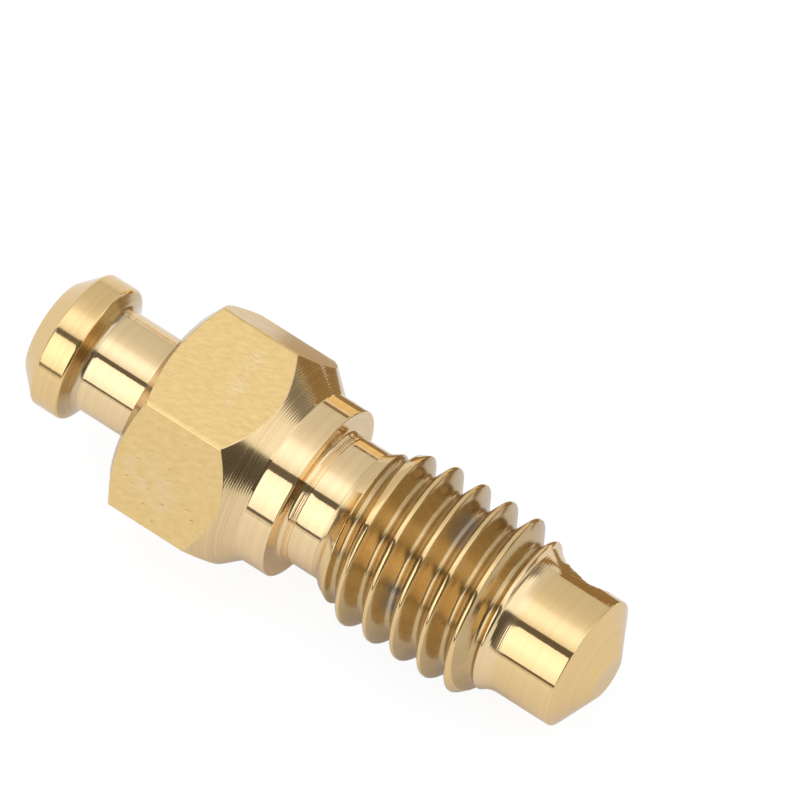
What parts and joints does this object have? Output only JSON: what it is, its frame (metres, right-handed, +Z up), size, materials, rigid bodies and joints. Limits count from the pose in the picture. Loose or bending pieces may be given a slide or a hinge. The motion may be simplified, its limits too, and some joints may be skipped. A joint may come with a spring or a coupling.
{
  "type": "bleeder screw",
  "caption": "One-piece turned brass bleeder screw: hose nipple, spanner hexagon, right-hand metric thread and a conical sealing tip with a cross-drilled bleed bore.",
  "frame": {"origin": "on the surface that the screw lies on, below the middle of its length", "axes": "+X along the screw from the hose nipple to the sealing tip, whose axis points 3.9 degrees down as the screw lies; +Y across; +Z up, above a flat of the hexagon"},
  "size_m": [0.0206, 0.008, 0.0072],
  "materials": {
    "brass": "bright turned surfaces, satin hexagon flats and thread"
  },
  "bodies": {
    "root": {"bleeder_screw": "brass"}
  },
  "joints": []
}
